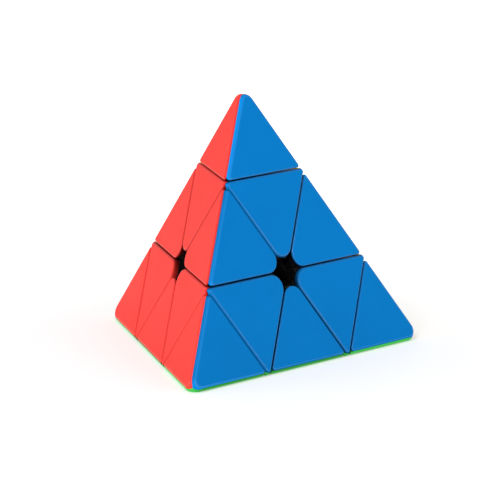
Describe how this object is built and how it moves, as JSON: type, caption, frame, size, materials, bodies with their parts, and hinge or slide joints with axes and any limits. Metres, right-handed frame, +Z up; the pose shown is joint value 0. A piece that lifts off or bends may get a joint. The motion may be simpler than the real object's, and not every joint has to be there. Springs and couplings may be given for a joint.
{
  "type": "pyramid twisty puzzle",
  "caption": "Four-faced pyramid twisty puzzle with coloured shells on black pieces; its corner layers and tips turn on a four-armed core.",
  "frame": {"origin": "centre of the core, where the four turning axes meet; it is also the centre of the whole pyramid", "axes": "+Z runs up through the top corner, square to the green face that the puzzle rests on; the blue face leans back from -Y and its lower ridge runs along X"},
  "size_m": [0.0984, 0.0853, 0.0803],
  "materials": {
    "blue_plastic": "fine satin moulded ABS, blue",
    "red_plastic": "fine satin moulded ABS, coral red",
    "yellow_plastic": "fine satin moulded ABS, yellow",
    "green_plastic": "fine satin moulded ABS, green",
    "black_plastic": "moulded black ABS with a slight lubricant sheen",
    "steel": "zinc-plated steel"
  },
  "bodies": {
    "core_unit": {"core": "black_plastic", "tension_screws": "steel", "tension_springs": "steel", "tension_washers": "steel"},
    "top_corner": {"top_corner_carrier": "black_plastic", "top_corner_blue_shell": "blue_plastic", "top_corner_red_shell": "red_plastic", "top_corner_yellow_shell": "yellow_plastic"},
    "left_corner": {"left_corner_carrier": "black_plastic", "left_corner_blue_shell": "blue_plastic", "left_corner_red_shell": "red_plastic", "left_corner_green_shell": "green_plastic"},
    "right_corner": {"right_corner_carrier": "black_plastic", "right_corner_blue_shell": "blue_plastic", "right_corner_yellow_shell": "yellow_plastic", "right_corner_green_shell": "green_plastic"},
    "back_corner": {"back_corner_carrier": "black_plastic", "back_corner_red_shell": "red_plastic", "back_corner_yellow_shell": "yellow_plastic", "back_corner_green_shell": "green_plastic"},
    "top_tip": {"top_tip_carrier": "black_plastic", "top_tip_blue_shell": "blue_plastic", "top_tip_red_shell": "red_plastic", "top_tip_yellow_shell": "yellow_plastic"},
    "left_tip": {"left_tip_carrier": "black_plastic", "left_tip_blue_shell": "blue_plastic", "left_tip_red_shell": "red_plastic", "left_tip_green_shell": "green_plastic"},
    "right_tip": {"right_tip_carrier": "black_plastic", "right_tip_blue_shell": "blue_plastic", "right_tip_yellow_shell": "yellow_plastic", "right_tip_green_shell": "green_plastic"},
    "back_tip": {"back_tip_carrier": "black_plastic", "back_tip_red_shell": "red_plastic", "back_tip_yellow_shell": "yellow_plastic", "back_tip_green_shell": "green_plastic"},
    "top_left_edge": {"top_left_edge_foot": "black_plastic", "top_left_edge_blue_shell": "blue_plastic", "top_left_edge_red_shell": "red_plastic"},
    "top_right_edge": {"top_right_edge_foot": "black_plastic", "top_right_edge_blue_shell": "blue_plastic", "top_right_edge_yellow_shell": "yellow_plastic"},
    "top_back_edge": {"top_back_edge_foot": "black_plastic", "top_back_edge_red_shell": "red_plastic", "top_back_edge_yellow_shell": "yellow_plastic"},
    "left_right_edge": {"left_right_edge_foot": "black_plastic", "left_right_edge_blue_shell": "blue_plastic", "left_right_edge_green_shell": "green_plastic"},
    "right_back_edge": {"right_back_edge_foot": "black_plastic", "right_back_edge_yellow_shell": "yellow_plastic", "right_back_edge_green_shell": "green_plastic"},
    "back_left_edge": {"back_left_edge_foot": "black_plastic", "back_left_edge_red_shell": "red_plastic", "back_left_edge_green_shell": "green_plastic"}
  },
  "joints": [
    {"name": "top_layer_turn", "type": "hinge", "parent": "core_unit", "child": "top_corner", "pos_m": [0, 0, 0], "axis": [0, 0, 1], "range_deg": [-120, 240]},
    {"name": "left_layer_turn", "type": "hinge", "parent": "core_unit", "child": "left_corner", "pos_m": [0, 0, 0], "axis": [-0.8165, -0.4714, -0.3333], "range_deg": [-120, 240]},
    {"name": "right_layer_turn", "type": "hinge", "parent": "core_unit", "child": "right_corner", "pos_m": [0, 0, 0], "axis": [0.8165, -0.4714, -0.3333], "range_deg": [-120, 240]},
    {"name": "back_layer_turn", "type": "hinge", "parent": "core_unit", "child": "back_corner", "pos_m": [0, 0, 0], "axis": [0, 0.9428, -0.3333], "range_deg": [-120, 240]},
    {"name": "top_tip_turn", "type": "hinge", "parent": "top_corner", "child": "top_tip", "pos_m": [0, 0, 0], "axis": [0, 0, 1], "continuous": true},
    {"name": "left_tip_turn", "type": "hinge", "parent": "left_corner", "child": "left_tip", "pos_m": [0, 0, 0], "axis": [-0.8165, -0.4714, -0.3333], "continuous": true},
    {"name": "right_tip_turn", "type": "hinge", "parent": "right_corner", "child": "right_tip", "pos_m": [0, 0, 0], "axis": [0.8165, -0.4714, -0.3333], "continuous": true},
    {"name": "back_tip_turn", "type": "hinge", "parent": "back_corner", "child": "back_tip", "pos_m": [0, 0, 0], "axis": [0, 0.9428, -0.3333], "continuous": true},
    {"name": "top_left_edge_with_left_layer", "type": "hinge", "parent": "top_corner", "child": "top_left_edge", "pos_m": [0, 0, 0], "axis": [-0.8165, -0.4714, -0.3333], "range_deg": [-120, 240]},
    {"name": "top_right_edge_with_right_layer", "type": "hinge", "parent": "top_corner", "child": "top_right_edge", "pos_m": [0, 0, 0], "axis": [0.8165, -0.4714, -0.3333], "range_deg": [-120, 240]},
    {"name": "top_back_edge_with_back_layer", "type": "hinge", "parent": "top_corner", "child": "top_back_edge", "pos_m": [0, 0, 0], "axis": [0, 0.9428, -0.3333], "range_deg": [-120, 240]},
    {"name": "left_right_edge_with_left_layer", "type": "hinge", "parent": "right_corner", "child": "left_right_edge", "pos_m": [0, 0, 0], "axis": [-0.8165, -0.4714, -0.3333], "range_deg": [-120, 240]},
    {"name": "right_back_edge_with_right_layer", "type": "hinge", "parent": "back_corner", "child": "right_back_edge", "pos_m": [0, 0, 0], "axis": [0.8165, -0.4714, -0.3333], "range_deg": [-120, 240]},
    {"name": "back_left_edge_with_back_layer", "type": "hinge", "parent": "left_corner", "child": "back_left_edge", "pos_m": [0, 0, 0], "axis": [0, 0.9428, -0.3333], "range_deg": [-120, 240]}
  ],
  "couplings": [
    {"joint": "top_left_edge_with_left_layer", "follows": "left_layer_turn", "ratio": 1},
    {"joint": "top_right_edge_with_right_layer", "follows": "right_layer_turn", "ratio": 1},
    {"joint": "top_back_edge_with_back_layer", "follows": "back_layer_turn", "ratio": 1},
    {"joint": "left_right_edge_with_left_layer", "follows": "left_layer_turn", "ratio": 1},
    {"joint": "right_back_edge_with_right_layer", "follows": "right_layer_turn", "ratio": 1},
    {"joint": "back_left_edge_with_back_layer", "follows": "back_layer_turn", "ratio": 1}
  ]
}
